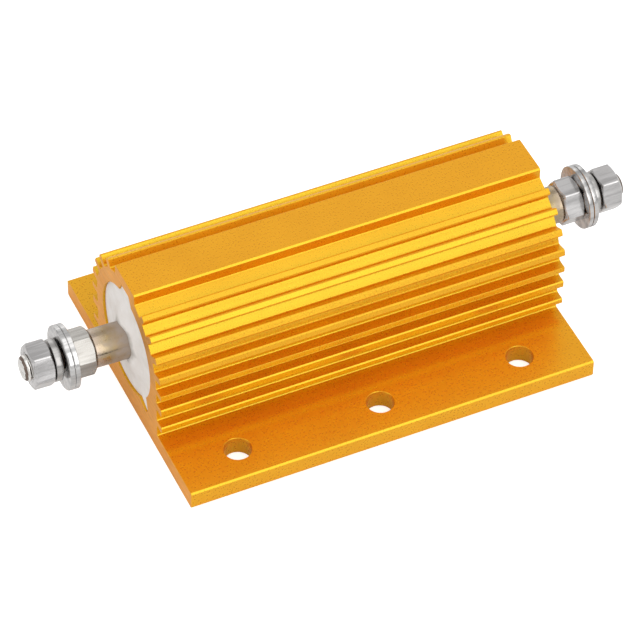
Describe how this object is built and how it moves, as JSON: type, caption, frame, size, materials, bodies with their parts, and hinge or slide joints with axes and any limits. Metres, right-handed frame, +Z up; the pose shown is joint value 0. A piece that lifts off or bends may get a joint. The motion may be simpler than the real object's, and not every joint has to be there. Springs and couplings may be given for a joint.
{
  "type": "aluminium housed power resistor",
  "caption": "Wirewound power resistor in a finned gold anodised housing with a flat bolt-down base, cement-filled bore and a threaded stud terminal with nuts and washers at each end.",
  "frame": {"origin": "centre of the underside of the base flange", "axes": "+X along the bore and both studs, +Z up from the base through the marking flat, +Y across"},
  "size_m": [0.0974, 0.0474, 0.025],
  "materials": {
    "gold_anodised_aluminium": "blasted and gold anodised, sawn ends dull",
    "cement": "matt off-white cast cement",
    "ceramic_core": "matt white ceramic",
    "resistance_wire": "oxidised resistance alloy wire",
    "cap_steel": "pressed steel",
    "stud_steel": "bright drawn and rolled, heat tinted at the shoulder",
    "plated_steel": "bright nickel plate",
    "spring_steel": "plated spring steel"
  },
  "bodies": {
    "root": {"housing": "gold_anodised_aluminium", "cement_filling": "cement", "ceramic_core": "ceramic_core", "resistance_winding": "resistance_wire", "end_cap_left": "cap_steel", "end_cap_right": "cap_steel", "terminal_stud_left": "stud_steel", "terminal_stud_right": "stud_steel", "inner_nut_left": "plated_steel", "inner_nut_right": "plated_steel", "inner_flat_washer_left": "plated_steel", "inner_flat_washer_right": "plated_steel", "outer_flat_washer_left": "plated_steel", "outer_flat_washer_right": "plated_steel", "spring_washer_left": "spring_steel", "spring_washer_right": "spring_steel", "outer_nut_left": "plated_steel", "outer_nut_right": "plated_steel"}
  },
  "joints": []
}
